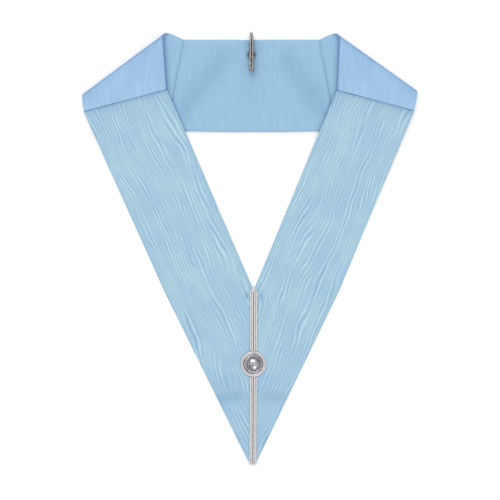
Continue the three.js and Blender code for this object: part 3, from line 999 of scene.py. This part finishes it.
def braid_piece(name, node, length, station, width=BRAID_WIDTH, closed=False):
    """A braid of two cords over a flat back; station gives a place on it with its aside and up."""
    rows = round(length / THREAD_PITCH) * ROWS_PER_TURN
    top, back = [], []
    for j in range(rows + 1):
        reach = length * j / rows
        middle, aside, up = station(reach)
        end = 1 if closed else sqrt(clamp(min(reach, length - reach) / BRAID_END))
        top_row, back_row = [], []
        for i in range(BRAID_COLUMNS + 1):
            spot = 2 * i / BRAID_COLUMNS - 1
            over_cord = abs(spot) * 2 - 1
            round_over = sqrt(max(1 - over_cord**2, 0))
            phase = (reach - abs(spot) * THREAD_SLANT * width / 2) / THREAD_PITCH
            thread = THREAD_RELIEF * (abs(cos(pi * phase)) - 0.5) * round_over
            groove = BRAID_GROOVE * min(1, (1 - abs(spot)) * 8)
            height = BRAID_HEIGHT * (groove + (1 - BRAID_GROOVE) * round_over) + thread
            base = middle + aside * spot * width / 2 - up * BRAID_SINK
            on_braid = (spot * BRAID_WIDTH / 2, reach)
            rise = (height + BRAID_SINK) * end if 0 < i < BRAID_COLUMNS else 0
            top_row.append((TRIM_PLACE @ (base + up * rise), on_braid, 0.0))
            back_row.append((TRIM_PLACE @ base, on_braid, 0.0))
        top.append(top_row)
        back.append(back_row)
    piece = close_up(name, add_grid(top, SILVER), add_grid(back, SILVER))
    settle(piece, "silver_braid", node)


UP = Vector((0, 0, 1))
RUN_END = RING_REACH - BUTTON_DROP
TURN_Y = BRAID_OVERLAP - RUN_OFFSET - BRAID_WIDTH / 2
RING_MIDDLE = (RING_DIAMETER - RING_BRAID_WIDTH) / 2


def upper_station(reach):
    """Up the left of the seam, round in a hairpin and down the right of it."""
    straight, arch = TURN_Y - ARCH_PEAK - RUN_END, pi * RUN_OFFSET
    if reach < straight:
        return Vector((-RUN_OFFSET, RUN_END + reach, 0)), Vector((-1, 0, 0)), UP
    if reach < straight + arch:
        turn = pi - (reach - straight) / RUN_OFFSET
        outwards = Vector((cos(turn), sin(turn), 0))
        peak = Vector((0, ARCH_PEAK * sin(turn) ** 3, 0))
        return Vector((0, TURN_Y - ARCH_PEAK, 0)) + RUN_OFFSET * outwards + peak, outwards, UP
    down = reach - straight - arch
    return Vector((RUN_OFFSET, TURN_Y - ARCH_PEAK - down, 0)), Vector((1, 0, 0)), UP


def lower_station(sign, reach):
    """From the ring down to the tip, then down over the edge of the cloth."""
    start = -BUTTON_DROP - RING_REACH
    straight, corner = start + POINT_LENGTH, GAP * pi / 2
    aside = Vector((1, 0, 0))
    if reach < straight:
        return Vector((sign * RUN_OFFSET, start - reach, 0)), aside, UP
    turn = min((reach - straight) / GAP, pi / 2)
    up = Vector((0, -sin(turn), cos(turn)))
    drop = max(reach - straight - corner, 0)
    return Vector((sign * RUN_OFFSET, -POINT_LENGTH, -GAP - drop)) + GAP * up, aside, up


def ring_station(reach):
    turn = reach / RING_MIDDLE
    outwards = Vector((sin(turn), cos(turn), 0))
    return Vector((0, -BUTTON_DROP, 0)) + RING_MIDDLE * outwards, outwards, UP


def crossing_station(reach):
    """From the left run over to the right of the ring, rising over both where they meet."""
    share = reach / CROSSING_LENGTH
    start, end = (
        Vector((RUN_OFFSET * across, RUN_END + up, 0)) for across, up in (CROSSING_START, CROSSING_END)
    )
    course = (end - start).normalized()
    rise = BRAID_HEIGHT * (0.55 + 0.45 * sin(pi * share))
    return start.lerp(end, share) + rise * UP, Vector((-course.y, course.x, 0)) * CROSSING_WIDTH, UP


def make_braid():
    upper_length = 2 * (TURN_Y - ARCH_PEAK - RUN_END) + pi * RUN_OFFSET
    braid_piece("braid_hairpin", "braid_upper", upper_length, upper_station)
    lower_length = POINT_LENGTH - BUTTON_DROP - RING_REACH + GAP * pi / 2 + STACK
    for side in SIDES:
        braid_piece(
            f"braid_run_{side['name']}", f"braid_lower_{side['name']}", lower_length,
            lambda reach: lower_station(side["sign"], reach))
    braid_piece(
        "braid_circle", "braid_ring", 2 * pi * RING_MIDDLE, ring_station,
        width=RING_BRAID_WIDTH, closed=True)
    braid_piece("braid_crossing", "braid_ring", CROSSING_LENGTH, crossing_station)


make_braid()


# The button

def turned_body(profile, segments):
    """Raises a disc through the rings of a profile, each a radius and a height, up to its middle."""
    radius, height = profile[0]
    bpy.ops.mesh.primitive_circle_add(
        vertices=segments, radius=radius, fill_type="NGON", location=(0, 0, height))
    bpy.ops.object.transform_apply(location=True)
    bpy.ops.object.mode_set(mode="EDIT")
    bpy.ops.mesh.select_all(action="SELECT")
    for next_radius, next_height in profile[1:]:
        bpy.ops.mesh.extrude_region_move(
            TRANSFORM_OT_translate={"value": (0, 0, next_height - height)})
        share = next_radius / radius
        bpy.ops.transform.resize(value=(share, share, 1), center_override=(0, 0, 0))
        radius, height = next_radius, next_height
    bpy.ops.object.mode_set(mode="OBJECT")
    return bpy.context.object


def ring_of(piece, count):
    """Copies of a piece turned about the upright axis, each with its own mesh."""
    copies = [piece]
    for k in range(1, count):
        copy = piece.copy()
        copy.data = piece.data.copy()
        copy.data.transform(Matrix.Rotation(2 * pi * k / count, 4, "Z"))
        bpy.context.scene.collection.objects.link(copy)
        copies.append(copy)
    return copies


def raised_bead(grain, spot, lean=0, axis="Z"):
    """A rounded grain at a spot, leant by an angle in degrees about one of its own axes."""
    bpy.ops.mesh.primitive_uv_sphere_add(segments=12, ring_count=8, radius=1)
    bead = bpy.context.object
    turn = Matrix.Rotation(radians(lean), 4, axis)
    bead.data.transform(Matrix.Translation(spot) @ turn @ Matrix.Diagonal((*GRAINS[grain], 1)))
    return bead


def make_button():
    rim, dome = BUTTON_DIAMETER / 2, DOME_DIAMETER / 2
    rope = (rim + dome) / 2 + 0.0002
    dome_rings = [
        (dome * cos(turn), FLANGE_HEIGHT + DOME_HEIGHT * sin(turn))
        for turn in (pi / 2 * k / 12 for k in range(1, 12))
    ]
    body = turned_body([
        (rim - 2 * BEVEL, 0),
        (rim, BEVEL),
        (rim, FLANGE_EDGE),
        (rim - BEVEL, FLANGE_EDGE + BEVEL),
        (rim - 3 * BEVEL, FLANGE_HEIGHT),
        (dome + 2 * BEVEL, FLANGE_HEIGHT),
        (dome + BEVEL, FLANGE_HEIGHT - BEVEL),
        (dome, FLANGE_HEIGHT - BEVEL),
        *dome_rings,
    ], 96)
    petal_height = FLANGE_HEIGHT + DOME_HEIGHT * PETAL_RISE
    strand = raised_bead("strand", Vector((rope, 0, FLANGE_HEIGHT)), ROPE_LEAN)
    bead = raised_bead("bead", Vector((dome + BEVEL, 0, FLANGE_HEIGHT - 0.0001)))
    petal = raised_bead("petal", Vector((PETAL_REACH, 0, petal_height)), PETAL_TILT, "Y")
    boss = raised_bead("boss", Vector((0, 0, FLANGE_HEIGHT + DOME_HEIGHT)))
    grains = ring_of(strand, ROPE_TURNS) + ring_of(bead, BEAD_COUNT) + ring_of(petal, PETAL_COUNT)
    piece = close_up("domed_button", body, boss, *grains)
    piece.data.materials.clear()
    piece.data.materials.append(BUTTON_METAL)

    # Painted shade in the hollows at the foot of the dome and round the petals; the flange is also a
    # little darker all over
    def recess_shade_and_flange_tone(spot, normal):
        reach = spot.xy.length
        lines = pressed("dome_foot", reach - dome) + pressed("petal_foot", reach - PETAL_FOOT)
        return lines + (FLANGE_TONE if reach > dome else 0)

    store_painted_shade(piece, recess_shade_and_flange_tone)
    piece.data.transform(TRIM_PLACE @ Matrix.Translation((0, -BUTTON_DROP, -BRAID_SINK)))
    settle(piece, "button_metal", "button")


make_button()


# The hook

def wire_piece(name, runs, thickness, material):
    """Round wires through lists of points, each with its share of the thickness, as one mesh."""
    bpy.ops.object.select_all(action="DESELECT")
    data = bpy.data.curves.new(name, "CURVE")
    data.dimensions = "3D"
    data.bevel_depth = thickness / 2
    data.bevel_resolution = 3
    data.resolution_u = 6
    data.use_fill_caps = True
    for points in runs:
        spline = data.splines.new("BEZIER")
        spline.bezier_points.add(len(points) - 1)
        for knot, (point, share) in zip(spline.bezier_points, points):
            knot.co = point
            knot.radius = share
            knot.handle_left_type = knot.handle_right_type = "AUTO"
    wire = bpy.data.objects.new(name, data)
    bpy.context.scene.collection.objects.link(wire)
    wire.select_set(True)
    bpy.context.view_layer.objects.active = wire
    bpy.ops.object.convert(target="MESH")
    piece = bpy.context.object
    piece.data.materials.clear()
    piece.data.materials.append(material)
    bpy.ops.object.shade_smooth_by_angle(angle=radians(50))
    return piece


def side_by_side(swell):
    """How far from the middle a wire of this share of the thickness lies against its twin."""
    return WIRE * swell / 2 + SEAM_GAP


def make_hook():
    low = WIRE / 2
    high = low + HOOK_THROAT + WIRE
    bend_radius = (high - low) / 2
    leg = (WIRE + GAP) / 2
    bend_y = HOOK_RISE - WIRE / 2 - bend_radius
    shank_y = HOOK_RISE - SHANK_LENGTH
    bill_y = HOOK_RISE - BILL_LENGTH
    wide, tall = EYELET_WIDTH / 2, EYELET_HEIGHT / 2
    half = []
    for k in range(EYELET_KNOTS):
        turn = pi + radians(EYELET_SWEEP) * (1 - k / (EYELET_KNOTS - 1))
        spot = Vector((leg + wide + wide * cos(turn), shank_y + tall * sin(turn), low))
        half.append((spot, EYELET_SHARE))
    for k in range(BEND_KNOTS):
        turn = pi * (k / (BEND_KNOTS - 1) - 0.5)
        swell = BILL_SWELL - BEND_PINCH * cos(turn)
        rise = low + bend_radius + bend_radius * sin(turn)
        half.append((Vector((side_by_side(swell), bend_y + bend_radius * cos(turn), rise)), swell))
    for part in BILL_ROUTE:
        swell = BILL_SWELL + LEG_SWELL * part["spread"]
        spot = Vector((
            side_by_side(swell), bend_y + (bill_y - bend_y) * part["reach"],
            high + part["flare"] * BILL_FLARE))
        half.append((spot, swell))
    other = [(Vector((-spot.x, spot.y, spot.z)), share) for spot, share in reversed(half)]
    crown = (Vector((0, bill_y + CROWN_DROP * WIRE, high + BILL_FLARE)), CROWN_SHARE)
    seat = HOME + Vector((0, 0, STACK + GAP))
    points = [(seat + spot, share) for spot, share in [*half, crown, *other]]
    piece = wire_piece("wire_hook", [points], WIRE, HOOK_METAL)
    bend_line = seat.y + bend_y

    # Painted shade: darker on the sides and undersides, which face away from the light, more so down the
    # legs, which are also a little darker all over
    def tarnish(spot, normal):
        down_leg = clamp((bend_line - spot.y) / BILL_LENGTH)
        return (0.3 + 0.7 * down_leg) * clamp(1.25 - 1.3 * normal.z) + 0.12 * down_leg

    store_painted_shade(piece, tarnish)
    settle(piece, "hook_metal", "collar_hook")
    make_hook_stitches(seat, leg + wide, shank_y, wide)


def make_hook_stitches(seat, eye_x, eye_y, wide):
    """Threads that sew the outer wire of each eyelet down on to the lining."""
    reach = WIRE / 2 + STITCH
    over_wire = [
        (-1, -GAP), (-0.75, WIRE * 0.75), (0, WIRE + STITCH * 0.3), (0.75, WIRE * 0.75), (1, -GAP),
    ]
    runs = []
    for middle in (-eye_x - wide, eye_x + wide):
        for k in (-1, 0, 1):
            y = eye_y + k * STITCH * 1.5
            runs.append([
                (seat + Vector((middle + share * reach, y, height)), 1) for share, height in over_wire
            ])
    piece = wire_piece("hook_stitches", runs, STITCH, THREAD)
    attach(piece, "root")


make_hook()


# Floor and light

FLOOR_SIZE = 8
FLOOR_DROP = 0.0002


def make_floor():
    bpy.ops.mesh.primitive_plane_add(size=FLOOR_SIZE, location=(0, 0, -FLOOR_DROP))
    floor = bpy.context.object
    floor.name = "floor"
    # The floor glows faintly, painted light that lifts the shadows on it
    material, tree, shader = new_material(
        "glowing_floor_paper", Roughness=0.9, Specular_IOR_Level=0.1, Emission_Color=(1, 1, 1, 1),
        Emission_Strength=0.12)
    spot = add_node(tree, "TexCoord").outputs["Object"]
    colour = blend_colours(tree, cloud(tree, spot, 40.0), tint(251, 252, 252), tint(253, 254, 254))
    tree.links.new(colour, shader.inputs["Base Color"])
    floor.data.materials.append(material)


# Soft lamps: place, size and power.
LAMPS = [
    {"name": "main", "place": (-0.7, 2.3, 3.1), "size": 3.4, "power": 79.0},
    {"name": "fill", "place": (1.0, -2.2, 2.8), "size": 2.4, "power": 34.0},
]
SKY = 0.5


def make_lights():
    for lamp in LAMPS:
        data = bpy.data.lights.new(lamp["name"], "AREA")
        data.shape = "SQUARE"
        data.size = lamp["size"]
        data.energy = lamp["power"]
        light = bpy.data.objects.new(lamp["name"], data)
        light.location = lamp["place"]
        light.rotation_euler = (-light.location).to_track_quat("-Z", "Y").to_euler()
        bpy.context.scene.collection.objects.link(light)
    world = bpy.data.worlds.new("sky")
    bpy.context.scene.world = world
    world.use_nodes = True
    sky = world.node_tree.nodes["Background"]
    sky.inputs["Color"].default_value = (1, 1, 1, 1)
    sky.inputs["Strength"].default_value = SKY
    bpy.context.scene.view_settings.view_transform = "Standard"


make_floor()
make_lights()
